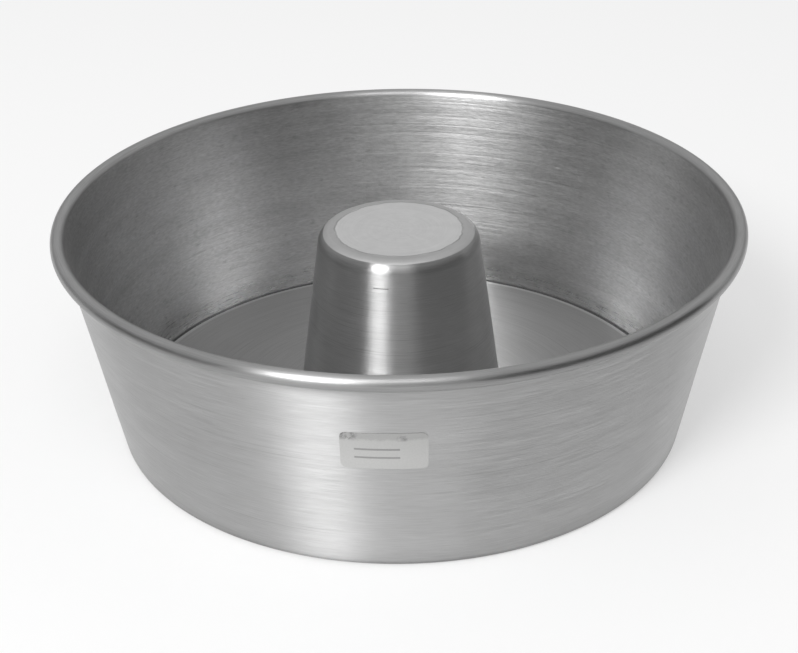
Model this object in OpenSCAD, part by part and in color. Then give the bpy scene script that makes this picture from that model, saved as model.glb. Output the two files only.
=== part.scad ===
// Ring cake pan with a loose base, spun from aluminium sheet.
// The shell is a leaning wall that ends in a rolled rim above and in a flat seat lip below.
// The loose base carries a closed centre tube, lies on the seat lip and is pushed up and out.
// Sizes are in millimetres, +Z is up, and the origin is on the table under the pan's centre.

/* [Shell] */
// Height from the table to the top of the rolled rim
pan_h = 80; // [55:1:110]
// Lean of the wall outwards from upright, in degrees
wall_lean = 10.8; // [4:0.2:16]
// Sheet thickness of the shell
shell_t = 1.2; // [0.8:0.1:1.6]
// Outer radius of the bend between the wall and the seat lip
corner_r = 2.5; // [2:0.1:5]
// Width of the flat seat lip that the loose base lies on
seat_w = 9; // [5:0.5:16]

/* [Rolled rim] */
// Outer diameter of the rolled rim
rim_d = 5.2; // [4.4:0.1:8]
// Gap between the tucked edge of the sheet and the wall
curl_gap = 0.4; // [0.2:0.1:0.8]

/* [Loose base] */
// Diameter of the loose base
base_d = 202; // [160:1:260]
// Sheet thickness of the loose base and its tube
base_t = 1.2; // [0.8:0.1:1.6]
// Side play of the base on the flat of the seat
base_play = 0.3; // [0.2:0.05:0.8]

/* [Centre tube] */
// Diameter of the tube where its side meets the base
tube_foot_d = 75.8; // [62:0.2:110]
// Diameter of the tube where its side meets the plane of its flat top
tube_top_d = 56.8; // [42:0.2:60]
// Height of the tube above the base
tube_h = 69.2; // [45:0.2:95]
// Radius of the shoulder between the tube's side and its flat top
shoulder_r = 5; // [3:0.2:14]
// Radius of the fillet at the tube's foot
foot_r = 2; // [1.2:0.1:6]

/* [Size label] */
// Width of the paper label round the wall
label_w = 28.6; // [16:0.2:45]
// Height of the label along the wall
label_h = 14.6; // [8:0.2:24]
// Thickness of the label's paper
label_t = 0.12; // [0.08:0.01:0.3]
// Corner radius of the label
label_corner_r = 2; // [0.5:0.1:3.5]
// Drop from the underside of the rim to the label's upper edge
label_drop = 19.2; // [4:0.2:25]
// Turn of the label round the pan, in degrees from the front
label_turn = -2.8; // [-180:0.2:180]

/* [Hidden] */
$fn = 180;

// Angle between the points of a bend in an outline, in degrees
bend_step = 10;

// Thickness of the glue that holds the label off the wall
glue_t = 0.03;

// Angles, in degrees
half_turn = 180;
quarter_turn = 90;

// Unit vector at a bearing in an outline's plane, where x is the radius and y the height
function bearing(a) = [cos(a), sin(a)];

// Points of a bend round a centre, from one bearing to the next
function bend(centre, r, from, to) =
    let (steps = ceil(abs(to - from) / bend_step))
    [for (i = [0:steps]) centre + r * bearing(from + (to - from) * i / steps)];

// Bend at the wall's foot, which starts where the flat seat ends
corner_in_r = corner_r - shell_t;
corner_c = [base_d / 2 - base_t / 2 + base_play, corner_r];
seat_in_x = corner_c.x - seat_w;

// Faces of the wall, which leave the bend as tangents
wall_in_foot = corner_c + corner_in_r * bearing(-wall_lean);
wall_out_foot = corner_c + corner_r * bearing(-wall_lean);
function wall_in_x(z) = wall_in_foot.x + (z - wall_in_foot.y) * tan(wall_lean);
function wall_out_x(z) = wall_out_foot.x + (z - wall_out_foot.y) * tan(wall_lean);

// Rolled rim, which the wall's inner face runs into as a tangent
rim_r = rim_d / 2;
rim_hollow_r = rim_r - shell_t;
rim_z = pan_h - rim_r;
rim_c = [wall_in_x(rim_z) + rim_r / cos(wall_lean), rim_z];
rim_start = half_turn - wall_lean;
// The curl would meet the wall at this angle short of a full turn, and stops one gap before it
rim_open = acos(rim_hollow_r / rim_r) + curl_gap / rim_r * half_turn / PI;
rim_end = rim_start + rim_open - 2 * half_turn;

// Heights of the loose base, which lies on the seat lip, and the middle of its rounded edge
floor_z = shell_t + base_t;
tube_z = floor_z + tube_h;
edge_c = [base_d / 2 - base_t / 2, shell_t + base_t / 2];

// Side of the centre tube, which leans inwards between the foot fillet and the shoulder
tube_lean = atan((tube_foot_d - tube_top_d) / 2 / tube_h);
function tube_x(z) = tube_foot_d / 2 - (z - floor_z) * tan(tube_lean);
shoulder_z = tube_z - shoulder_r;
shoulder_c = [tube_x(shoulder_z) - shoulder_r / cos(tube_lean), shoulder_z];
foot_z = floor_z + foot_r;
foot_c = [tube_x(foot_z) + foot_r / cos(tube_lean), foot_z];
foot_start = half_turn + tube_lean;
foot_end = half_turn + quarter_turn;

// Middle of the label's height on the wall
label_z = rim_z - rim_r - label_drop - label_h / 2 * cos(wall_lean);

// Shell in section: out along the seat, up the wall, round the curl to the sheet's edge, and back
module shell_section() {
    polygon(concat(
        [[seat_in_x, 0]],
        bend(corner_c, corner_r, -quarter_turn, -wall_lean),
        bend(rim_c, rim_hollow_r, rim_start, rim_end),
        bend(rim_c, rim_r, rim_end, rim_start),
        bend(corner_c, corner_in_r, -wall_lean, -quarter_turn),
        [[seat_in_x, shell_t]]
    ));
}

// Loose base in section: under the top, down inside the tube, out to the rounded edge, and back
module base_section() {
    polygon(concat(
        [[0, tube_z - base_t]],
        bend(shoulder_c, shoulder_r - base_t, quarter_turn, tube_lean),
        bend(foot_c, foot_r + base_t, foot_start, foot_end),
        bend(edge_c, base_t / 2, -quarter_turn, quarter_turn),
        bend(foot_c, foot_r, foot_end, foot_start),
        bend(shoulder_c, shoulder_r, tube_lean, quarter_turn),
        [[0, tube_z]]
    ));
}

module rounded_sheet(w, h, r) {
    square([w - 2 * r, h], center = true);
    square([w, h - 2 * r], center = true);
    for (x = [-1, 1] * (w / 2 - r), y = [-1, 1] * (h / 2 - r))
        translate([x, y])
            circle(r = r);
}

// Skin that lies on the wall, one glue thickness off it, above and below the label
module label_skin() {
    near = glue_t / cos(wall_lean);
    far = (glue_t + label_t) / cos(wall_lean);
    low = label_z - label_h;
    high = label_z + label_h;
    rotate_extrude()
        polygon([
            [wall_out_x(low) + near, low],
            [wall_out_x(low) + far, low],
            [wall_out_x(high) + far, high],
            [wall_out_x(high) + near, high]
        ]);
}

module pan_shell() {
    color("#B4B5B6")
        rotate_extrude()
            shell_section();
}

module loose_base() {
    color("#A6A7A8")
        rotate_extrude()
            base_section();
}

module size_label() {
    color("#D2D1CC")
        intersection() {
            label_skin();
            rotate([0, 0, label_turn])
                translate([0, -wall_out_x(label_z), label_z])
                    rotate([quarter_turn + wall_lean, 0, 0])
                        linear_extrude(height = label_w, center = true)
                            rounded_sheet(label_w, label_h, label_corner_r);
        }
}

pan_shell();
loose_base();
size_label();
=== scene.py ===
# %% [markdown]
# A ring cake pan with a loose base, dressed for the camera.
# The real pan is two sheets of aluminium, each spun on a lathe over a forming block, and a small
# paper sticker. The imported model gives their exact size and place. Here each sheet is drawn again
# as the line of its middle, turned round the axis as the lathe does, and given its thickness.
# The finish is what makes the pan look real: spun metal keeps the fine circular lines of the
# roller, and they smear every highlight into an upright streak.

# %% Load the frame
from math import acos, atan, atan2, cos, hypot, pi, radians, sin, tan

import bpy
from mathutils import Matrix, Vector


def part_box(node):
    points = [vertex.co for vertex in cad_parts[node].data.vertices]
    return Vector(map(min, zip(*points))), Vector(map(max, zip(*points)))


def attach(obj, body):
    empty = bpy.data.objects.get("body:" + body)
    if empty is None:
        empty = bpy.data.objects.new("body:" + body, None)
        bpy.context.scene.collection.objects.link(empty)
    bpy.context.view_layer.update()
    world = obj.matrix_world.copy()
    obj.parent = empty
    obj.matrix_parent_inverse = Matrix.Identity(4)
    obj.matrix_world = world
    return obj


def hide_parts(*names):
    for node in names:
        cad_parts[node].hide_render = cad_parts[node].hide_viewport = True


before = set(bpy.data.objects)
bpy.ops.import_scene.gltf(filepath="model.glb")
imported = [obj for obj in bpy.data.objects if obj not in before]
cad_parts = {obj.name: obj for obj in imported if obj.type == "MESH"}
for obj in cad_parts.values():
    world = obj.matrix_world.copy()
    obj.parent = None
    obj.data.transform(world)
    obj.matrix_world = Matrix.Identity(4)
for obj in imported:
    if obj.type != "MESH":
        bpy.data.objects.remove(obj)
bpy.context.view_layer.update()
shell_low, shell_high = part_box("pan_shell")
base_low, base_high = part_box("loose_base")
label_low, label_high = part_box("size_label")
print("shell", tuple(shell_low), tuple(shell_high))
print("base", tuple(base_low), tuple(base_high))

# %% [markdown]
# Sizes are in metres, and the outer ones come from the frame's boxes. One gauge of sheet makes
# both parts, so the base's floor is two sheets above the table: the seat lip and the base itself.
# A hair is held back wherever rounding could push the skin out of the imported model's box.

# %% Sheet and outer sizes
MM = 0.001
SHEET = 1.2 * MM
HAIR = 0.05 * MM

pan_height = shell_high.z
base_radius = base_high.x
floor_height = 2 * SHEET
tube_top = base_high.z
print("pan height", pan_height, "base radius", base_radius, "tube top", tube_top)

# %% [markdown]
# Colours are written as sRGB hex values, as a colour picker shows them, and one function turns
# them into the linear values that the renderer works in.

# %% Colours
def linear(hex_colour):
    """A colour picker's hex value as a linear colour with full alpha."""
    parts = [int(hex_colour[i:i + 2], 16) / 255 for i in (1, 3, 5)]
    return tuple(c / 12.92 if c <= 0.04045 else ((c + 0.055) / 1.055) ** 2.4 for c in parts) + (1,)

print("middle grey #808080 is", round(linear("#808080")[0], 3), "in linear light")

# %% [markdown]
# The camera stands in front of the pan and looks down at it by about 28 degrees, a little closer
# than two thirds of a metre. A lens of about 75 mm on a 36 mm sensor gives the photograph's mild
# perspective, and the picture is turned by less than a degree.

# %% Camera
LENS_MM = 74.62
SENSOR_MM = 36
CAMERA_AT = Vector((0, -533.7, 320.6)) * MM
CAMERA_AIM = Vector((-0.465, 0, 31.98)) * MM
CAMERA_ROLL = radians(-0.888)

def make_camera():
    """A camera that looks at its aim, turned a little about its own axis."""
    camera_data = bpy.data.cameras.new("camera")
    camera_data.lens = LENS_MM
    camera_data.sensor_width = SENSOR_MM
    camera = bpy.data.objects.new("camera", camera_data)
    bpy.context.scene.collection.objects.link(camera)
    level = (CAMERA_AIM - CAMERA_AT).to_track_quat("-Z", "Y").to_matrix().to_4x4()
    camera.matrix_world = Matrix.Translation(CAMERA_AT) @ level @ Matrix.Rotation(CAMERA_ROLL, 4, "Z")
    bpy.context.scene.camera = camera
    return camera

camera = make_camera()
print("camera", tuple(camera.location))

# %% [markdown]
# A sheet-metal worker thinks of a pan as one line: the middle of the sheet, with a radius at each
# bend. Such a line could be traced by eye, but then the two sheets would never quite fit. Here it
# is worked out from bends and straights, as points with x for the radius from the axis and z for
# the height. A bend is cut into steps of a few degrees, which smooth shading then hides.

# %% Points along a bend
BEND_STEP = radians(7.5)

def bend(centre, radius, start, end):
    """Points round a bend's centre from one bearing to the next, both ends included."""
    steps = max(2, round(abs(end - start) / BEND_STEP))
    turns = [start + (end - start) * i / steps for i in range(steps + 1)]
    return [(centre[0] + radius * cos(a), centre[1] + radius * sin(a)) for a in turns]

def straight(start, end, steps):
    """Points along a straight stretch, without its two ends, which the bends give."""
    return [(start[0] + (end[0] - start[0]) * i / steps, start[1] + (end[1] - start[1]) * i / steps)
            for i in range(1, steps)]

print("a quarter bend has", len(bend((0, 0), SHEET, 0, pi / 2)), "points")

# %% [markdown]
# The shell starts as a flat lip that the base rests on, bends up into a wall that leans out by a
# little under 11 degrees, and ends in a rolled rim. The rim is a hollow curl of just over 5 mm:
# the sheet goes round almost a full turn, and its cut edge is tucked against the wall. A solid
# ring would look the same from above, but from outside the eye finds the thin dark gap.

# %% Middle line of the shell
WALL_LEAN = radians(10.8)
FOOT_BEND = 2.5 * MM
SEAT_WIDTH = 9 * MM
BASE_PLAY = 0.3 * MM
RIM_RADIUS = 2.6 * MM
CURL_GAP = 0.4 * MM
WALL_STEPS = 24

def shell_line():
    """Out along the seat, round the foot bend, up the wall and round the curl."""
    half = SHEET / 2
    inner_bend = FOOT_BEND - SHEET
    foot = (base_radius - half + BASE_PLAY, FOOT_BEND)
    inner_foot = (foot[0] + inner_bend * cos(WALL_LEAN), foot[1] - inner_bend * sin(WALL_LEAN))
    rim_z = pan_height - RIM_RADIUS
    wall_at_rim = inner_foot[0] + (rim_z - inner_foot[1]) * tan(WALL_LEAN)
    rim = (wall_at_rim + RIM_RADIUS / cos(WALL_LEAN), rim_z)
    opening = acos((RIM_RADIUS - SHEET) / RIM_RADIUS) + CURL_GAP / RIM_RADIUS
    seat = [(foot[0] - SEAT_WIDTH, half), (foot[0] - SEAT_WIDTH / 2, half)]
    foot_bend = bend(foot, FOOT_BEND - half, -pi / 2, -WALL_LEAN)
    curl = bend(rim, RIM_RADIUS - half - HAIR, pi - WALL_LEAN, opening - pi - WALL_LEAN)
    return seat + foot_bend + straight(foot_bend[-1], curl[0], WALL_STEPS) + curl

print("shell line of", len(shell_line()), "points")

# %% [markdown]
# The base starts at the axis as the tube's flat end. It turns over a small shoulder, runs down the
# tube's side, which leans in a little so that a cake slides off, turns again at the foot and
# crosses the floor to the disc's edge. The tube and the floor are one sheet, so they are one line.

# %% Middle line of the loose base
TUBE_FOOT_RADIUS = 37.9 * MM
TUBE_TOP_RADIUS = 28.4 * MM
SHOULDER_BEND = 5 * MM
TUBE_FOOT_BEND = 2 * MM
END_STEPS = 6
FLOOR_STEPS = 10
TUBE_STEPS = 10

def base_line():
    """Out from the axis across the tube's end, down its side, round its foot and out to the edge."""
    half = SHEET / 2
    lean = atan((TUBE_FOOT_RADIUS - TUBE_TOP_RADIUS) / (tube_top - floor_height))
    shoulder_z = tube_top - SHOULDER_BEND
    foot_z = floor_height + TUBE_FOOT_BEND
    side_at_shoulder = TUBE_FOOT_RADIUS - (shoulder_z - floor_height) * tan(lean)
    side_at_foot = TUBE_FOOT_RADIUS - (foot_z - floor_height) * tan(lean)
    shoulder = (side_at_shoulder - SHOULDER_BEND / cos(lean), shoulder_z)
    foot = (side_at_foot + TUBE_FOOT_BEND / cos(lean), foot_z)
    shoulder_bend = bend(shoulder, SHOULDER_BEND - half, pi / 2, lean)
    foot_bend = bend(foot, TUBE_FOOT_BEND + half, pi + lean, 3 * pi / 2)
    centre = (0, tube_top - half)
    edge = (base_radius, floor_height - half)
    return ([centre] + straight(centre, shoulder_bend[0], END_STEPS) + shoulder_bend
            + straight(shoulder_bend[-1], foot_bend[0], TUBE_STEPS) + foot_bend
            + straight(foot_bend[-1], edge, FLOOR_STEPS) + [edge])

print("base line of", len(base_line()), "points")

# %% [markdown]
# The lathe's marks follow the metal, not the height or the radius: a mark 60 mm along the base's
# sheet lies half way down the tube, and one 120 mm along lies out on the floor. So the finish is
# placed by the distance walked along the line, which these few lines add up.

# %% Distance along the sheet
def walk(points):
    """How far along the line each point lies, in metres."""
    walked = [0.0]
    for (x0, z0), (x1, z1) in zip(points, points[1:]):
        walked.append(walked[-1] + hypot(x1 - x0, z1 - z0))
    return walked

def first_above(points, height):
    """How far along the line the first point above a height lies, in millimetres."""
    return next(walked for walked, point in zip(walk(points), points) if point[1] > height) / MM

curl_start = first_above(shell_line(), pan_height - RIM_RADIUS)
base_edge = walk(base_line())[-1] / MM
print("the curl starts", round(curl_start, 1), "mm along the shell")
print("the base measures", round(base_edge, 1), "mm along the sheet from its middle to its edge")

# %% [markdown]
# An operator acts on all that is selected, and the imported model's nodes are selected when they
# load. So nothing is left selected before a piece is added, and one piece alone before it is
# worked on.

# %% Pick a piece
def deselect():
    """Leaves nothing selected."""
    bpy.ops.object.select_all(action="DESELECT")

def pick(piece):
    """Leaves this piece alone selected, and makes it the active one."""
    deselect()
    bpy.context.view_layer.objects.active = piece
    piece.select_set(True)

def edit_all():
    """Opens the active piece in edit mode with all of it selected."""
    bpy.ops.object.mode_set(mode="EDIT")
    bpy.ops.mesh.select_all(action="SELECT")

print("selected before the first piece:", len(bpy.context.selected_objects), "nodes")

# %% [markdown]
# A line in Blender is a chain of edges. It starts here as a small plane merged to one vertex, and
# is drawn by extruding that vertex from point to point, as by hand with the E key. A curve object
# would do too, but a mesh keeps its vertices where the bends put them.

# %% Draw a line
def draw_line(name, points):
    """A chain of edges through the points, in the plane of X and Z."""
    deselect()
    bpy.ops.mesh.primitive_plane_add(size=MM, location=(0, 0, 0))
    piece = bpy.context.object
    piece.name = name
    piece.data.name = name
    edit_all()
    bpy.ops.mesh.merge(type="CENTER")
    bpy.ops.transform.translate(value=(points[0][0], 0, points[0][1]))
    for (x0, z0), (x1, z1) in zip(points, points[1:]):
        bpy.ops.mesh.extrude_region_move(TRANSFORM_OT_translate={"value": (x1 - x0, 0, z1 - z0)})
    bpy.ops.object.mode_set(mode="OBJECT")
    return piece

shell = draw_line("shell_sheet", shell_line())
base = draw_line("base_sheet", base_line())
print(shell.name, len(shell.data.edges), "edges,", base.name, len(base.data.edges), "edges")

# %% [markdown]
# Before the line is spun, each vertex notes how far along the sheet it lies. Spin and Solidify
# both carry the note to the vertices that they make, so the finish can read it on the whole skin.

# %% Note the distance on the line
ALONG = "along_sheet"

def note_distance(piece, points):
    """Writes on each vertex how far along the sheet it lies, in metres."""
    note = piece.data.attributes.new(ALONG, "FLOAT", "POINT")
    walked = walk(points)
    for vertex in piece.data.vertices:
        away = [hypot(vertex.co.x - x, vertex.co.z - z) for x, z in points]
        note.data[vertex.index].value = walked[away.index(min(away))]

note_distance(shell, shell_line())
note_distance(base, base_line())
print("noted", len(shell.data.vertices) + len(base.data.vertices), "distances")

# %% [markdown]
# Turning a line into a body is what the lathe does, and Blender's Spin does the same: it sweeps
# the chain of edges round the axis in equal steps. The last step lands on the first, so the
# doubles are merged, and the normals are made to agree with each other.

# %% Spin the lines
TURN_STEPS = 256
DOUBLES_WITHIN = 0.01 * MM

def spin_round(piece):
    """Sweeps the piece's edges one full turn round the axis and closes the seam."""
    pick(piece)
    edit_all()
    bpy.ops.mesh.spin(steps=TURN_STEPS, angle=2 * pi, center=(0, 0, 0), axis=(0, 0, 1))
    bpy.ops.mesh.select_all(action="SELECT")
    bpy.ops.mesh.remove_doubles(threshold=DOUBLES_WITHIN)
    bpy.ops.mesh.normals_make_consistent(inside=False)
    bpy.ops.object.mode_set(mode="OBJECT")
    print(piece.name, "spun into", len(piece.data.polygons), "faces")

spin_round(shell)
spin_round(base)

# %% [markdown]
# The two sides of a sheet get two finishes, so it has to be known which side is which. Solidify
# takes a skin's front as the first side. On both sheets that is the side one sees on looking down
# into the pan, so the skin is flipped if a face on it looks the other way.

# %% Turn the skins face up
def face_up(piece, at_radius):
    """Turns the skin so that the face nearest a radius looks up, or inwards on a wall."""
    face = min(piece.data.polygons, key=lambda p: abs(Vector(p.center[:2]).length - at_radius))
    inward = Vector((-face.center.x, -face.center.y, face.center.length))
    if face.normal.dot(inward) < 0:
        pick(piece)
        edit_all()
        bpy.ops.mesh.flip_normals()
        bpy.ops.object.mode_set(mode="OBJECT")
        print("flipped", piece.name)

on_wall = base_radius + 6 * MM
on_floor = base_radius - 20 * MM
face_up(shell, on_wall)
face_up(base, on_floor)

# %% [markdown]
# A modifier works best here when it is applied at once, as the next step reads the mesh that it
# made. This helper adds one with its settings to a piece and applies it.

# %% Add and apply a modifier
def use(modifier_type, piece, **settings):
    """Adds a modifier with its settings and applies it."""
    pick(piece)
    modifier = piece.modifiers.new(modifier_type.lower(), modifier_type)
    for key, value in settings.items():
        setattr(modifier, key, value)
    bpy.ops.object.modifier_apply(modifier=modifier.name)
    print(modifier_type.lower(), "left", piece.name, "with", len(piece.data.vertices), "vertices")

# %% [markdown]
# No spun pan is perfectly round. The roller leaves the sheet wavy by a tenth of a millimetre or two
# over the width of a hand, which the eye reads from the highlights' wandering edges. A soft cloud
# texture moves the skin by that much before it gets its thickness. The seat, the rim and the
# base's outer edge are left true, so that the pan stands flat and the base lies flat on its seat.

# %% Slight waves of hand spinning
WAVE_FADE = 14 * MM
SEAT_CLEAR = 6 * MM
EDGE_CLEAR = 15 * MM
EDGE_FADE = 12 * MM

def shell_share(place):
    """How much of the wave the shell takes: none at the seat and at the rim."""
    rim_low = pan_height - 2 * RIM_RADIUS
    return min((place.z - SEAT_CLEAR) / WAVE_FADE, (rim_low - place.z) / WAVE_FADE)

def base_share(place):
    """How much of the wave the base takes: none near its edge."""
    return (base_radius - EDGE_CLEAR - hypot(place.x, place.y)) / EDGE_FADE

def wave(piece, name, size, height, share_at):
    """Moves the skin along its normals by a soft wave of a size and a height."""
    group = piece.vertex_groups.new(name="waves")
    for vertex in piece.data.vertices:
        share = share_at(vertex.co)
        if share > 0:
            group.add([vertex.index], min(1, share), "REPLACE")
    clouds = bpy.data.textures.new(name, "CLOUDS")
    clouds.noise_scale = size
    clouds.noise_depth = 1
    use("DISPLACE", piece, texture=clouds, texture_coords="LOCAL", mid_level=0.5, strength=height,
        vertex_group="waves")
    piece.vertex_groups.clear()

wave(shell, "shell_waves", size=55 * MM, height=0.35 * MM, share_at=shell_share)
wave(base, "base_waves", size=40 * MM, height=0.12 * MM, share_at=base_share)

# %% [markdown]
# One small function adds a node, sets it up and links it, and every finish is built with it. An
# input takes a number, a colour, or another node, whose first output is then used.

# %% Add a node
def add(tree, kind, inputs=(), **settings):
    """A shader node with its settings, and its inputs by name or by number."""
    node = tree.nodes.new("ShaderNode" + kind)
    for key, value in settings.items():
        setattr(node, key, value)
    named_inputs = inputs if isinstance(inputs, dict) else dict(enumerate(inputs))
    for key, value in named_inputs.items():
        if isinstance(value, bpy.types.Node):
            value = value.outputs[0]
        if isinstance(value, bpy.types.NodeSocket):
            tree.links.new(value, node.inputs[key])
        else:
            node.inputs[key].default_value = value
    return node

def new_material(name):
    """A material without nodes, and its tree."""
    material = bpy.data.materials.new(name)
    material.use_nodes = True
    material.node_tree.nodes.clear()
    return material, material.node_tree

print("materials before the first finish:", len(bpy.data.materials))

# %% [markdown]
# Every mark on spun metal follows the lathe: it is long round the axis and narrow along the sheet.
# A point's direction from the axis, scaled to a real radius, gives the way round. The distance
# that was noted on the sheet gives the way along. Dividing the two by a mark's real length and
# width in millimetres makes each cell of the noise one mark, and the layer picks another part of
# the same noise. The noise stays close to its middle, so a map range stretches the part of it
# that is wanted over real values. The sizes of marks, and where they lie, are plain millimetres.

# %% Patterns that follow the lathe
WALL_RADIUS = 110
TUBE_RADIUS = 40
GRAIN = 0.55

def lathe_marks(tree, radius, length, width, layer,
                low=0.0, high=1.0, start=0.32, end=0.68, detail=3):
    """Marks of a length round the axis and a width along the sheet, running from low to high."""
    place = add(tree, "TexCoord").outputs["Object"]
    flat = add(tree, "VectorMath", (place, (1, 1, 0)), operation="MULTIPLY")
    way_round = add(tree, "VectorMath", (flat,), operation="NORMALIZE")
    marks_round = add(tree, "VectorMath", {0: way_round, "Scale": radius / length}, operation="SCALE")
    walked = add(tree, "Attribute", attribute_name=ALONG).outputs["Fac"]
    marks_along = add(tree, "Math", (walked, 1 / (width * MM), layer), operation="MULTIPLY_ADD")
    lift = add(tree, "CombineXYZ", (0, 0, marks_along))
    spot = add(tree, "VectorMath", (marks_round, lift), operation="ADD")
    noise = add(tree, "TexNoise", {"Vector": spot, "Scale": 1, "Detail": detail, "Roughness": GRAIN})
    return add(tree, "MapRange", {"Value": noise, "From Min": start, "From Max": end,
                                  "To Min": low, "To Max": high})

print("one turn is", round(2 * pi * WALL_RADIUS), "mm on the wall")
print("and", round(2 * pi * TUBE_RADIUS), "mm on the tube")

# %% [markdown]
# Some marks have one known place: a painted highlight on an edge, a stretch of painted shade or
# reflection, a single scratch. Their shade is a share of the metal's own, read from the distance
# along the sheet, and for a scratch from the turn round the axis too. Shares are multiplied and
# heights are added, in a chain of two by two.

# %% Marks with a place of their own
MAP = "sheet_map"

def along_share(tree, near, far, low, high):
    """A share that runs smoothly from low to high between two distances along the sheet, in mm."""
    walked = add(tree, "Attribute", attribute_name=ALONG).outputs["Fac"]
    return add(tree, "MapRange", {"Value": walked, "From Min": near * MM, "From Max": far * MM,
                                  "To Min": low, "To Max": high}, interpolation_type="SMOOTHSTEP")

def scratch_share(tree, along, half_width, turn, half_turn, low):
    """A share of low inside one short scratch, placed in mm and degrees, and of 1 elsewhere."""
    walked = add(tree, "Attribute", attribute_name=ALONG).outputs["Fac"]
    turned = add(tree, "SeparateXYZ", (add(tree, "UVMap", uv_map=MAP),)).outputs["Y"]
    in_width = add(tree, "Math", (walked, along * MM, half_width * MM), operation="COMPARE")
    in_turn = add(tree, "Math", (turned, turn / 360, half_turn / 360), operation="COMPARE")
    inside = add(tree, "Math", (in_width, in_turn), operation="MULTIPLY")
    return add(tree, "Math", (inside, low - 1, 1.0), operation="MULTIPLY_ADD")

def together(tree, operation, *values):
    """All the values multiplied or added, one after another."""
    result = values[0]
    for value in values[1:]:
        result = add(tree, "Math", (result, value), operation=operation)
    return result

print("marks are placed by the attribute", ALONG, "and, round the axis, by the map", MAP)

# %% [markdown]
# Spun aluminium is bare metal: fully metallic, a light neutral grey, and dulled by the fine ridges
# that the roller leaves. The ridges scatter light widely across themselves and hardly along
# themselves, which the anisotropy and the map of the sheet stand for, so a lamp shows as a streak
# that stands upright on the wall. The ridges of the real pan are a few hundredths of a millimetre
# wide, too fine to show, so the drawn ones are two tenths and more. Clean aluminium is paler than
# this grey, which is matched to the dull, used metal. Each finish gives its marks' height in mm.

# %% Bare metal with the lathe's lines
SPUN_GREY = "#C0C0C0"

def bare_metal(tree, metal_colour, shade, roughness, anisotropy, height):
    """Aluminium of a shade, whose highlights spread across the lathe's lines; height in mm."""
    colour = add(tree, "VectorMath", {0: linear(metal_colour)[:3], "Scale": shade}, operation="SCALE")
    bump = add(tree, "Bump", {"Strength": 1.0, "Distance": MM, "Height": height})
    tangent = add(tree, "Tangent", direction_type="UV_MAP", uv_map=MAP)
    metal = add(tree, "BsdfPrincipled", {"Base Color": colour, "Metallic": 1.0, "Roughness": roughness,
                                         "Anisotropic": anisotropy, "Tangent": tangent, "Normal": bump})
    add(tree, "OutputMaterial", {"Surface": metal})

print("spun grey sends back", round(linear(SPUN_GREY)[0], 2), "of the light")

# %% [markdown]
# The side that lay on the forming block took up the block's grain. It is banded where the roller
# passed, with a shallow groove here and there, and mottled all over, which breaks every highlight
# up. Low on the wall, where the sheet was pressed hardest, it is ironed smooth and shines more.
# Use has left smudges on it, and painted shade darkens the corner at the foot of the wall, where
# the crevice under the base lies in shade. The bands and grooves are some millimetres wide and
# run far round the pan. The mottling's marks are half a millimetre high and one to three long. The
# underside of the base has the same skin, but no such corner, so its painted corner shade ends
# before the sheet begins.

# %% Block side of a sheet
BLOCK_GREY = "#C2C2C2"
BLOCK_ANISOTROPY = 0.55
CORNER_END = 12.4
CORNER_SHADE_FADE = 1.2
CORNER_PAINTED_SHADE = 0.35
IRONED = 26
IRONED_HEIGHT = 0.15
IRONED_ROUGHNESS = 0.70
NO_CORNER = -IRONED

def block_shade(tree, radius, corner_end):
    """The shades of bands, streaks, lines, patches, smudges and the corner's painted shade."""
    bands = lathe_marks(tree, radius, 200, 3.6, layer=11.3, low=0.93, high=1.04, detail=2)
    streaks = lathe_marks(tree, radius, 2.4, 0.55, layer=3.7, low=0.86, high=1.10, detail=4)
    lines = lathe_marks(tree, radius, 50, 0.5, layer=15.9, low=1.0, high=0.86,
                        start=0.60, end=0.74, detail=2)
    patches = lathe_marks(tree, radius, 20, 9, layer=23.9, low=0.94, high=1.03)
    smudges = lathe_marks(tree, radius, 5, 2.4, layer=57.4, low=1.0, high=0.74,
                          start=0.60, end=0.78, detail=6)
    # Painted shade: the corner at the foot of the wall is darkened, standing in for the crevice's
    # shade.
    painted_corner_shade = along_share(tree, corner_end - CORNER_SHADE_FADE, corner_end, CORNER_PAINTED_SHADE, 1.0)
    return together(tree, "MULTIPLY", bands, streaks, lines, patches, smudges, painted_corner_shade)

def block_height(tree, radius, corner_end):
    """The heights of bands, grooves, streaks and flecks, in millimetres."""
    bands = lathe_marks(tree, radius, 200, 3.6, layer=11.3, high=0.05, detail=2)
    grooves = lathe_marks(tree, radius, 180, 2.0, layer=29.5, low=0.04, high=0,
                          start=0.54, end=0.72, detail=2)
    streaks = lathe_marks(tree, radius, 2.4, 0.6, layer=77.1, high=0.013, detail=2)
    flecks = lathe_marks(tree, radius, 0.9, 0.55, layer=41.2, high=0.010, detail=2)
    height = together(tree, "ADD", bands, grooves, streaks, flecks)
    ironed = along_share(tree, corner_end, corner_end + IRONED, IRONED_HEIGHT, 1.0)
    return together(tree, "MULTIPLY", height, ironed)

def block_side(name, radius, corner_end):
    """Spun aluminium as it comes off the block; the corner's painted shade ends at a distance in mm."""
    material, tree = new_material(name)
    dulling = lathe_marks(tree, radius, 9, 0.8, layer=68.6, low=0.36, high=0.44)
    ironed = along_share(tree, corner_end, corner_end + IRONED, IRONED_ROUGHNESS, 1.0)
    roughness = together(tree, "MULTIPLY", dulling, ironed)
    shade = block_shade(tree, radius, corner_end)
    height = block_height(tree, radius, corner_end)
    bare_metal(tree, BLOCK_GREY, shade, roughness, BLOCK_ANISOTROPY, height)
    print(name, len(tree.nodes), "nodes")
    return material

wall_inside = block_side("spun_aluminium_block_side", WALL_RADIUS, CORNER_END)
base_under = block_side("spun_aluminium_under_side", TUBE_RADIUS, NO_CORNER)
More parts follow.
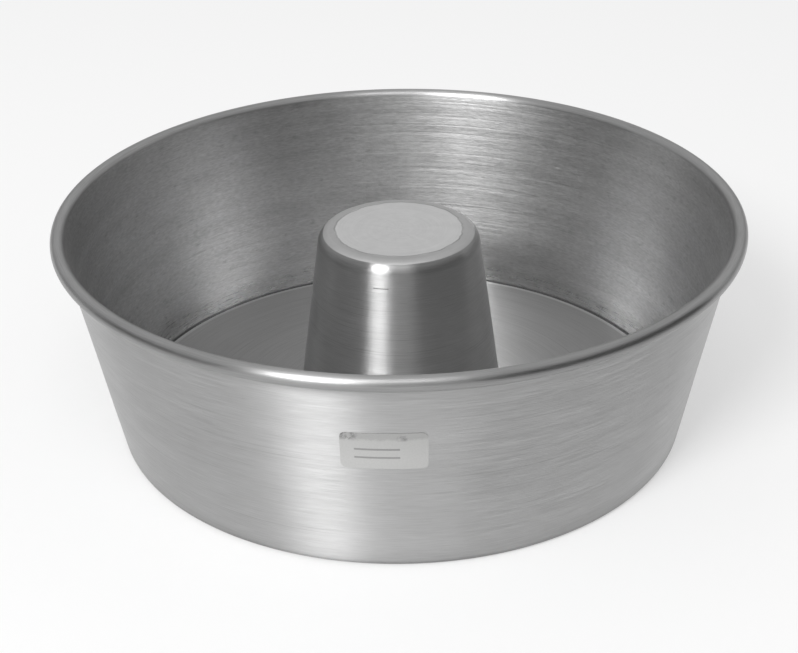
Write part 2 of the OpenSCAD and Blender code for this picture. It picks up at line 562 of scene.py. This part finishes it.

# %% [markdown]
# The side that the roller pressed is smoother, and its streaks are narrower and brighter. It has
# long fine lines with a deeper, darker one here and there, a soft band for each pass, and a few
# thin scratches from shelves and drawers, which also run mostly round the pan. Each painted
# stretch gives its start and end in millimetres along the sheet, and its shade before and after.
# On the outside, painted shade darkens the foot bend and the lowest part of the wall, as the
# shade next to the table does, which draws the thin dark line along its lower edge.

# %% Tool side of a sheet
SMOOTHER = 0.03
DULLER = 0.04

def tool_shade(tree, radius):
    """The shades of the roller's passes and lines, of patches and of thin scratches."""
    passes = lathe_marks(tree, radius, 160, 3.2, layer=11.3, low=0.98, high=1.02, detail=2)
    lines = lathe_marks(tree, radius, 9, 0.2, layer=3.7, low=0.91, high=1.07)
    patches = lathe_marks(tree, radius, 40, 14, layer=23.9, low=0.97, high=1.02)
    scratches = lathe_marks(tree, radius, 12, 0.45, layer=71.8, low=1.0, high=0.80,
                            start=0.70, end=0.78)
    deep_lines = lathe_marks(tree, radius, 90, 0.6, layer=47.9, low=1.0, high=0.86,
                             start=0.62, end=0.72, detail=2)
    return together(tree, "MULTIPLY", passes, lines, patches, scratches, deep_lines)

def tool_side(name, metal_colour, radius, depth, roughness, anisotropy, painted_stretches=(), scratches=()):
    """Spun aluminium as the roller leaves it, with lines of a depth in millimetres."""
    material, tree = new_material(name)
    # The painted stretches are painted shade, painted reflection or painted highlight along the sheet.
    shares = [along_share(tree, *stretch) for stretch in painted_stretches]
    shares += [scratch_share(tree, **scratch) for scratch in scratches]
    shade = together(tree, "MULTIPLY", tool_shade(tree, radius), *shares)
    line_height = lathe_marks(tree, radius, 7, 0.22, layer=44.3, high=depth, detail=2)
    dulling = lathe_marks(tree, radius, 20, 0.6, layer=68.6,
                          low=roughness - SMOOTHER, high=roughness + DULLER)
    bare_metal(tree, metal_colour, shade, dulling, anisotropy, line_height)
    print(name, len(tree.nodes), "nodes")
    return material

# Painted shade: the foot bend and the wall just above it are darkened as if shaded at the table.
painted_contact_shade = (10.0, 12.4, 0.50, 1.0)
painted_shade_low_wall = (11.6, 18, 0.88, 1.0)
wall_outside = tool_side("spun_aluminium_tool_side", SPUN_GREY, WALL_RADIUS,
                         depth=0.018, roughness=0.375, anisotropy=1.0,
                         painted_stretches=(painted_contact_shade, painted_shade_low_wall))

# %% [markdown]
# The rim is the same metal, rolled over once more with a small wheel and handled ever since. Its
# lines are nearly rubbed away, so its highlight is smoother and runs further round the pan. The top
# of the roll keeps the metal's own shade, and from its outside down to the underside a band is
# painted darker: a painted reflection of the dark low part of the room that the roll mirrors.

# %% Rolled rim
RIM_GREY = "#B6B6B6"

# Painted reflection: the roll's outside and underside are darkened for the dark room they mirror.
painted_dark_reflection = (curl_start + 3.3, curl_start + 5.6, 1.0, 0.70)
rim_finish = tool_side("rolled_rim_aluminium", RIM_GREY, WALL_RADIUS,
                       depth=0.005, roughness=0.34, anisotropy=0.85, painted_stretches=(painted_dark_reflection,))

# %% [markdown]
# On the base a band round the tube's shoulder is painted darker, a painted shade that dims the
# shoulder's highlight, and a painted highlight brightens the disc's edge next to the wall. One
# short dark scratch crosses the tube's side near the top, a little left of the front, and it is
# the first thing the eye finds on the streak.

# %% Floor and tube
FLOOR_GREY = "#C2C2C2"
MATT_REACH = 26.9

# Painted shade dims the shoulder's highlight, and a painted highlight lights the disc's edge.
painted_shoulder_shade = (MATT_REACH + 1, MATT_REACH + 5, 0.70, 1.0)
painted_edge_highlight = (base_edge - 2.2, base_edge - 1.3, 1.0, 1.4)
tube_scratch = {"along": 35.3, "half_width": 0.2, "turn": -102.6, "half_turn": 5.2, "low": 0.45}
base_top = tool_side("spun_aluminium_floor_side", FLOOR_GREY, TUBE_RADIUS,
                     depth=0.018, roughness=0.32, anisotropy=1.0,
                     painted_stretches=(painted_shoulder_shade, painted_edge_highlight), scratches=(tube_scratch,))

# %% [markdown]
# The tube's end was held flat between the block and the lathe's follower, so no roller went over
# it. It is dull and even, and its highlight has no direction. The follower's edge left a thin,
# wandering ring, and outside the ring the metal is darker.

# %% Matt end of the tube
END_GREY = "#DDDDDD"
END_ROUGHNESS = 0.58
FOLLOWER_RADIUS = 22.7
RING_STRAY = 0.4
RING_CORE = 0.1
RING_REACH = 0.45
RING_SHADE = 0.70

def witness_ring(tree, radius):
    """The shade of the ring that the follower's edge left, which wanders a little as it goes round."""
    wander = lathe_marks(tree, radius, 12, 400, layer=23.9,
                         low=-RING_STRAY * MM, high=RING_STRAY * MM, detail=5)
    walked = add(tree, "Attribute", attribute_name=ALONG).outputs["Fac"]
    strayed = add(tree, "Math", (walked, wander), operation="ADD")
    away = add(tree, "Math", (strayed, FOLLOWER_RADIUS * MM), operation="SUBTRACT")
    off_ring = add(tree, "Math", (away,), operation="ABSOLUTE")
    return add(tree, "MapRange", {"Value": off_ring, "From Min": RING_CORE * MM,
                                  "From Max": RING_REACH * MM, "To Min": RING_SHADE, "To Max": 1.0},
               interpolation_type="SMOOTHSTEP")

def matt_end(name, radius):
    """Dull pressed aluminium, darker outside the follower's ring, whose highlight has no direction."""
    material, tree = new_material(name)
    clouds = lathe_marks(tree, radius, 9, 5, layer=11.3, low=0.97, high=1.02)
    rings = lathe_marks(tree, radius, 50, 0.9, layer=3.7, low=0.97, high=1.02)
    ring = witness_ring(tree, radius)
    outside = along_share(tree, FOLLOWER_RADIUS - 0.2, FOLLOWER_RADIUS + 0.4, 1.06, 0.78)
    shade = together(tree, "MULTIPLY", clouds, rings, ring, outside)
    pores = lathe_marks(tree, radius, 1.5, 1.2, layer=33.8, high=0.004)
    bare_metal(tree, END_GREY, shade, END_ROUGHNESS, 0.0, pores)
    print(name, len(tree.nodes), "nodes")
    return material

tube_end = matt_end("pressed_matt_aluminium", TUBE_RADIUS)

# %% [markdown]
# The spun skins have no thickness yet. Solidify grows each by half a gauge to both sides, and the
# two sides take two material slots: the first for the side that looks up, the second for the
# other. A third slot waits for the rim or the tube's end. The slots have to be there first, or
# Solidify gives both sides the same one. Bevel then breaks the cut edges of the sheet, and smooth
# shading hides the small faces.

# %% Give the sheets their thickness
CUT_EDGE = radians(60)
SMOOTH_BELOW = radians(35)

def smooth(piece):
    """Shades the piece smooth wherever two faces meet at less than a limit."""
    pick(piece)
    bpy.ops.object.shade_smooth_by_angle(angle=SMOOTH_BELOW)

def thicken(piece, finishes, edge_round):
    """Gives the skin its finishes and its gauge, and rounds the sheet's cut edges."""
    for finish in finishes:
        piece.data.materials.append(finish)
    use("SOLIDIFY", piece, thickness=SHEET, offset=0, use_even_offset=True, use_quality_normals=True,
        material_offset=1, material_offset_rim=0)
    use("BEVEL", piece, width=edge_round, segments=4, limit_method="ANGLE", angle_limit=CUT_EDGE)
    smooth(piece)

thicken(shell, (wall_inside, wall_outside, rim_finish), edge_round=0.25 * MM)
thicken(base, (base_top, base_under, tube_end), edge_round=0.5 * MM)
for piece in (shell, base):
    print(piece.name, len(piece.data.polygons), "faces", [round(v, 4) for v in piece.dimensions])

# %% [markdown]
# The finish needs to know which way the lines run. A map of the surface says so: its first
# direction runs along the sheet from the middle to the rim, its second round the axis. The
# highlights of a lined metal spread across the lines, which is the first direction. An unwrap
# would scatter the directions, so the map is written straight from each corner's place. The small
# tilt keeps the first direction from vanishing on the sheet's cut edges.

# %% Map the sheets
MAP_TILT = 0.1
MAP_SCALE = 10
ON_AXIS = 0.1 * MM

def map_sheet(piece):
    """Writes the map: along the sheet, and round the axis without a jump inside a face."""
    mesh = piece.data
    layer = mesh.uv_layers.new(name=MAP)
    along = mesh.attributes[ALONG].data
    for face in mesh.polygons:
        middle = atan2(face.center.y, face.center.x)
        for loop_index in face.loop_indices:
            vertex = mesh.vertices[mesh.loops[loop_index].vertex_index]
            away = hypot(vertex.co.x, vertex.co.y)
            turn = middle if away < ON_AXIS else atan2(vertex.co.y, vertex.co.x)
            turn += 2 * pi * round((middle - turn) / (2 * pi))
            distance = along[vertex.index].value + MAP_TILT * (vertex.co.z + away)
            layer.data[loop_index].uv = (distance * MAP_SCALE, turn / (2 * pi))
    print(piece.name, "mapped with", len(layer.data), "corners")

map_sheet(shell)
map_sheet(base)

# %% [markdown]
# The rim and the tube's end are parts of the same sheets, so they aren't pieces of their own. A
# face belongs to one of them by how far along the sheet it lies, and changes its slot for the
# third.

# %% Rim and tube end
def mean_along(piece, face):
    """How far along the sheet a face lies, in metres, as the mean of its corners."""
    note = piece.data.attributes[ALONG].data
    return sum(note[v].value for v in face.vertices) / len(face.vertices)

for face in shell.data.polygons:
    if face.material_index == 0 and mean_along(shell, face) > curl_start * MM:
        face.material_index = 2
for face in base.data.polygons:
    if face.material_index == 0 and mean_along(base, face) < MATT_REACH * MM:
        face.material_index = 2
for piece in (shell, base):
    print(piece.name, "faces per finish",
          [sum(1 for f in piece.data.polygons if f.material_index == i) for i in range(3)])

# %% [markdown]
# The sticker is a thin piece of paper with rounded corners, pressed onto the wall. It could be
# bent by a modifier, but a wall that leans is a cone, and paper on a cone turns in two ways at
# once. So it starts flat in front of the wall, is cut into small faces, and is then wrapped onto
# the wall with a hair of glue under it.

# %% Flat paper
LABEL_WIDTH = 28.6 * MM
LABEL_HEIGHT = 14.6 * MM
LABEL_CORNER = 2 * MM
STRIPS_ACROSS = 28
STRIPS_UP = 10
PAPER_MAP = "UVMap"

def cut_across(count, length, direction):
    """Cuts a sheet that lies on the origin into equal strips, counted along a direction."""
    for i in range(1, count):
        at = -length / 2 + length * i / count
        bpy.ops.mesh.select_all(action="SELECT")
        bpy.ops.mesh.bisect(plane_co=direction * at, plane_no=direction)

def flat_label():
    """A rounded rectangle of small faces, flat on the origin, mapped from corner to corner."""
    deselect()
    bpy.ops.mesh.primitive_plane_add(size=1, location=(0, 0, 0))
    paper = bpy.context.object
    paper.name = "paper_label"
    edit_all()
    bpy.ops.transform.resize(value=(LABEL_WIDTH, LABEL_HEIGHT, 1))
    bpy.ops.mesh.bevel(offset=LABEL_CORNER, segments=6, affect="VERTICES")
    cut_across(STRIPS_ACROSS, LABEL_WIDTH, Vector((1, 0, 0)))
    cut_across(STRIPS_UP, LABEL_HEIGHT, Vector((0, 1, 0)))
    bpy.ops.object.mode_set(mode="OBJECT")
    paper_map = paper.data.uv_layers[PAPER_MAP]
    for loop in paper.data.loops:
        flat = paper.data.vertices[loop.vertex_index].co
        paper_map.data[loop.index].uv = (flat.x / LABEL_WIDTH + 0.5, flat.y / LABEL_HEIGHT + 0.5)
    return paper

label = flat_label()
print("label cut into", len(label.data.polygons), "faces")

# %% [markdown]
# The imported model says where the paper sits. It is stood up there a little in front of the wall,
# leaning as the wall does, and Shrinkwrap presses it on. Solidify then gives it the thickness of
# paper, outwards only, so that the glue's gap stays open.

# %% Press the paper onto the wall
PAPER = 0.12 * MM
GLUE = 0.03 * MM
STAND_OFF = 4 * MM

middle = (label_low + label_high) / 2
label_turn = atan2(middle.x, -middle.y)
outwards = Vector((sin(label_turn), -cos(label_turn), 0))
stand = Matrix.Rotation(label_turn, 4, "Z") @ Matrix.Rotation(pi / 2 + WALL_LEAN, 4, "X")
start = Vector((0, 0, middle.z)) + outwards * (hypot(label_low.x, label_low.y) + STAND_OFF)
label.data.transform(Matrix.Translation(start) @ stand)
use("SHRINKWRAP", label, target=shell, wrap_method="NEAREST_SURFACEPOINT", wrap_mode="ABOVE_SURFACE",
    offset=GLUE)
use("SOLIDIFY", label, thickness=PAPER, offset=1)
smooth(label)
print("label turned by", round(label_turn, 3), "and", [round(v, 4) for v in label.dimensions], "across")

# %% [markdown]
# Dirt has caught in the glue along the sticker's upper edge, darkest at the left corner and in
# one spot further right. The upper half is darker than the lower, and the left is lighter than
# the right: a painted sheen where the key lamp's streak falls on the paper. All of it is laid out
# on the paper's own map, whose two directions run from 0 to 1, and a ragged noise breaks up its
# edges, because dirt never ends in a clean line.

# %% Dirt and painted sheen on the paper
CORNER_DIRT = {"middle": (0.08, 0.95), "reach": (0.15, 0.22), "depth": 0.55}
FURTHER_DIRT = {"middle": (0.71, 0.87), "reach": (0.08, 0.12), "depth": 0.40}
TORN = 0.16

def dirt_spot(tree, flat_map, middle, reach, depth):
    """How dark a spot of dirt is: its depth in the middle, fading to nothing at its reach."""
    away = add(tree, "VectorMath", (flat_map, (*middle, 0)), operation="SUBTRACT")
    scaled = add(tree, "VectorMath", (away, (1 / reach[0], 1 / reach[1], 0)), operation="MULTIPLY")
    distance = add(tree, "VectorMath", (scaled,), operation="LENGTH").outputs["Value"]
    return add(tree, "MapRange", {"Value": distance, "From Min": 0.4, "From Max": 1.0,
                                  "To Min": depth, "To Max": 0.0}, interpolation_type="SMOOTHSTEP")

def paper_dirt_and_sheen(tree, flat_map, across, up, ragged):
    """The shades of the dirty strip, its dark blots, a painted sheen across the paper, and a darkening
    upwards.
    """
    torn_up = add(tree, "Math", (ragged, TORN, up), operation="MULTIPLY_ADD")
    strip = add(tree, "MapRange", {"Value": torn_up, "From Min": 0.86, "From Max": 0.93,
                                   "To Min": 1.0, "To Max": 0.82})
    blots = add(tree, "MapRange", {"Value": ragged, "From Min": 0.42, "From Max": 0.60})
    corner = dirt_spot(tree, flat_map, **CORNER_DIRT)
    further = dirt_spot(tree, flat_map, **FURTHER_DIRT)
    depths = together(tree, "ADD", corner, further)
    blot_depth = add(tree, "Math", (blots, depths), operation="MULTIPLY")
    blot_shade = add(tree, "Math", (1.0, blot_depth), operation="SUBTRACT")
    # Painted sheen: the paper is lighter at the left, where the key lamp's streak falls, and darker
    # upwards.
    pale = add(tree, "MapRange", {"Value": across, "To Min": 1.07, "To Max": 0.98})
    darker_upwards = add(tree, "MapRange", {"Value": up, "From Min": 0.25, "From Max": 0.75,
                                     "To Min": 1.0, "To Max": 0.93})
    return together(tree, "MULTIPLY", strip, blot_shade, pale, darker_upwards)

print("dirt spots at", CORNER_DIRT["middle"], "and", FURTHER_DIRT["middle"])

# %% [markdown]
# The sticker is thin, dull paper, greyed by years in a kitchen, with two faint plain rules across
# it. Its fibres give it a slight cloudiness of about half a millimetre and a soft tooth, which
# tells the eye that it is paper and not paint. Its roughness is that of uncoated paper.

# %% Aged sticker paper
PAPER_GREY = "#B0B0AF"
PAPER_ROUGHNESS = 0.75
FIBRES_PER_MM = 1.6
RAGS_PER_MM = 0.55
TOOTH = 0.01 * MM
RULE_HEIGHTS = (0.55, 0.32)
RULE_MIDDLE = 0.42
RULE_HALF_LENGTH = 0.26
RULE_HALF_WIDTH = 0.026
RULE_DEPTH = 0.40

def rule_share(tree, across, up, rule_height):
    """A share that is lower on one thin rule at a height of the paper."""
    in_rule = add(tree, "Math", (up, rule_height, RULE_HALF_WIDTH), operation="COMPARE")
    in_length = add(tree, "Math", (across, RULE_MIDDLE, RULE_HALF_LENGTH), operation="COMPARE")
    on_rule = add(tree, "Math", (in_rule, in_length), operation="MULTIPLY")
    return add(tree, "Math", (on_rule, -RULE_DEPTH, 1.0), operation="MULTIPLY_ADD")

def aged_paper(name):
    """Dull paper with dirt along the upper edge, a painted sheen and two faint rules."""
    material, tree = new_material(name)
    flat_map = add(tree, "UVMap", uv_map=PAPER_MAP)
    parts = add(tree, "SeparateXYZ", (flat_map,))
    across, up = parts.outputs["X"], parts.outputs["Y"]
    size_in_mm = (LABEL_WIDTH / MM, LABEL_HEIGHT / MM, 1)
    in_mm = add(tree, "VectorMath", (flat_map, size_in_mm), operation="MULTIPLY")
    fibre = add(tree, "TexNoise", {"Vector": in_mm, "Scale": FIBRES_PER_MM,
                                   "Detail": 4, "Roughness": 0.6})
    fibre_shade = add(tree, "MapRange", {"Value": fibre, "From Min": 0.3, "From Max": 0.7,
                                         "To Min": 0.95, "To Max": 1.03})
    ragged = add(tree, "TexNoise", {"Vector": in_mm, "Scale": RAGS_PER_MM,
                                    "Detail": 4, "Roughness": 0.7})
    rules = [rule_share(tree, across, up, rule_height) for rule_height in RULE_HEIGHTS]
    # These shades hold the dirt and also the painted sheen across the paper.
    dirt = paper_dirt_and_sheen(tree, flat_map, across, up, ragged.outputs[0])
    shade = together(tree, "MULTIPLY", fibre_shade, dirt, *rules)
    colour = add(tree, "VectorMath", {0: linear(PAPER_GREY)[:3], "Scale": shade}, operation="SCALE")
    bump = add(tree, "Bump", {"Strength": 1.0, "Distance": TOOTH, "Height": fibre})
    paper = add(tree, "BsdfPrincipled", {"Base Color": colour, "Roughness": PAPER_ROUGHNESS,
                                         "Normal": bump})
    add(tree, "OutputMaterial", {"Surface": paper})
    print(name, len(tree.nodes), "nodes")
    return material

label.data.materials.append(aged_paper("aged_sticker_paper"))

# %% [markdown]
# The pan stands on a plain pale sheet, much larger than the picture, so that no edge of it shows.
# It is matt. The camera and the metal see it part of the way to pure white, as a studio's
# background is, while the light that it throws on the pan stays that of the plain sheet. The
# pan's soft shadow stays on it.

# %% Floor
FLOOR_WHITE = "#F3F3F3"
FLOOR_SIZE = 12
WHITENED = 0.45

def seen_directly(tree):
    """1 for a ray from the camera, or one that metal or glass sends on, and 0 for scattered light."""
    rays = add(tree, "LightPath").outputs
    direct = together(tree, "ADD", rays["Is Camera Ray"], rays["Is Glossy Ray"],
                      rays["Is Transmission Ray"])
    direct.use_clamp = True
    return direct

def make_floor():
    """A matt sheet that the camera and the metal see whiter than it lights."""
    deselect()
    bpy.ops.mesh.primitive_plane_add(size=FLOOR_SIZE, location=(0, 0, 0))
    ground = bpy.context.object
    ground.name = "floor"
    material, tree = new_material("matt_studio_floor")
    matt = add(tree, "BsdfDiffuse", {"Color": linear(FLOOR_WHITE)})
    white = add(tree, "Emission", {"Color": linear("#FFFFFF"), "Strength": 1.0})
    share = add(tree, "Math", (seen_directly(tree), WHITENED), operation="MULTIPLY")
    mixed = add(tree, "MixShader", (share, matt, white))
    add(tree, "OutputMaterial", {"Surface": mixed})
    ground.data.materials.append(material)
    return ground

ground = make_floor()
print("floor", [round(v) for v in ground.dimensions], "metres")

# %% [markdown]
# Two softboxes light the pan. The key stands to the left of the camera and makes the streaks on
# the outer wall, on the tube and on the far side of the inner wall. A weaker one hangs high over
# the front and lifts the floor and the tube's end. On metal a lamp's size is the streak's width,
# so the key is a little under a metre across and almost three metres away.

# %% Lights
LIGHT_AIM = Vector((0, 0, 40 * MM))

def soft_light(name, bearing, height, distance, side, power):
    """A square softbox that faces the pan, at a bearing in degrees to the camera's right."""
    angle = radians(bearing) - pi / 2
    rise = radians(height)
    direction = Vector((cos(angle) * cos(rise), sin(angle) * cos(rise), sin(rise)))
    spot = LIGHT_AIM + distance * direction
    lamp = bpy.data.lights.new(name, "AREA")
    lamp.shape = "SQUARE"
    lamp.size = side
    lamp.energy = power
    light = bpy.data.objects.new(name, lamp)
    light.location = spot
    light.rotation_euler = (LIGHT_AIM - spot).to_track_quat("-Z", "Y").to_euler()
    light.visible_camera = False
    bpy.context.scene.collection.objects.link(light)
    print(name, "at", [round(v, 2) for v in spot])

soft_light("key", bearing=-30, height=38, distance=2.8, side=0.9, power=52)
soft_light("over_front", bearing=0, height=60, distance=2.8, side=1.2, power=10)

# %% [markdown]
# A round rim mirrors the whole room, and in an all-white one it would look flat. So a dark card
# stands on the floor at each side, as a photographer sets them for metal. The camera doesn't see
# them and they throw no shadow: they show only in the metal, as the dark line that runs along the
# outside of the rolled rim at the left and at the right.

# %% Dark cards
CARD_GREY = "#303030"

def dark_card(name, bearing, distance, width, height):
    """An upright card that faces the pan, at a bearing in degrees to the camera's right."""
    angle = radians(bearing) - pi / 2
    spot = (distance * cos(angle), distance * sin(angle), height / 2)
    deselect()
    bpy.ops.mesh.primitive_plane_add(size=1, location=spot, rotation=(pi / 2, 0, angle + pi / 2))
    card = bpy.context.object
    card.name = name
    card.scale = (width, height, 1)
    material, tree = new_material("matt_dark_card")
    add(tree, "OutputMaterial", {"Surface": add(tree, "BsdfDiffuse", {"Color": linear(CARD_GREY)})})
    card.data.materials.append(material)
    card.visible_camera = card.visible_shadow = card.visible_diffuse = False
    print(name, "at", [round(v, 2) for v in card.location])

dark_card("card_right", bearing=60, distance=0.44, width=0.72, height=0.36)
dark_card("card_left", bearing=-74, distance=0.66, width=0.6, height=0.28)

# %% [markdown]
# The rest of the light comes evenly from above, as from a studio's white ceiling and walls. The
# metal shows it as the plain grey between the streaks. Low down, beyond the table, a studio is
# darker, and the rim shows that too: it carries the cards' dark line on, more faintly, round the
# front. The view transform is Standard, so a colour renders about as it is written.

# %% World
ROOM_LIGHT = 0.56
HORIZON_LIGHT = 0.12
HORIZON_HEIGHT = 0.36

def make_world():
    """A white room whose light falls off smoothly towards the horizon."""
    world = bpy.data.worlds.new("studio")
    bpy.context.scene.world = world
    world.use_nodes = True
    tree = world.node_tree
    tree.nodes.clear()
    upwards = add(tree, "SeparateXYZ", (add(tree, "TexCoord").outputs["Generated"],)).outputs["Z"]
    strength = add(tree, "MapRange", {"Value": upwards, "From Min": 0, "From Max": HORIZON_HEIGHT,
                                      "To Min": HORIZON_LIGHT, "To Max": ROOM_LIGHT},
                   interpolation_type="SMOOTHSTEP")
    room = add(tree, "Background", {"Color": linear("#FFFFFF"), "Strength": strength})
    add(tree, "OutputWorld", {"Surface": room})

make_world()
bpy.context.scene.view_settings.view_transform = "Standard"
print("room light", ROOM_LIGHT, "above and", HORIZON_LIGHT, "at the horizon")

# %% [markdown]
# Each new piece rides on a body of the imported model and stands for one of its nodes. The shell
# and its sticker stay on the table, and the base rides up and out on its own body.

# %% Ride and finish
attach(shell, "shell")
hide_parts("pan_shell")
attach(base, "base")
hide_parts("loose_base")
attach(label, "shell")
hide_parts("size_label")
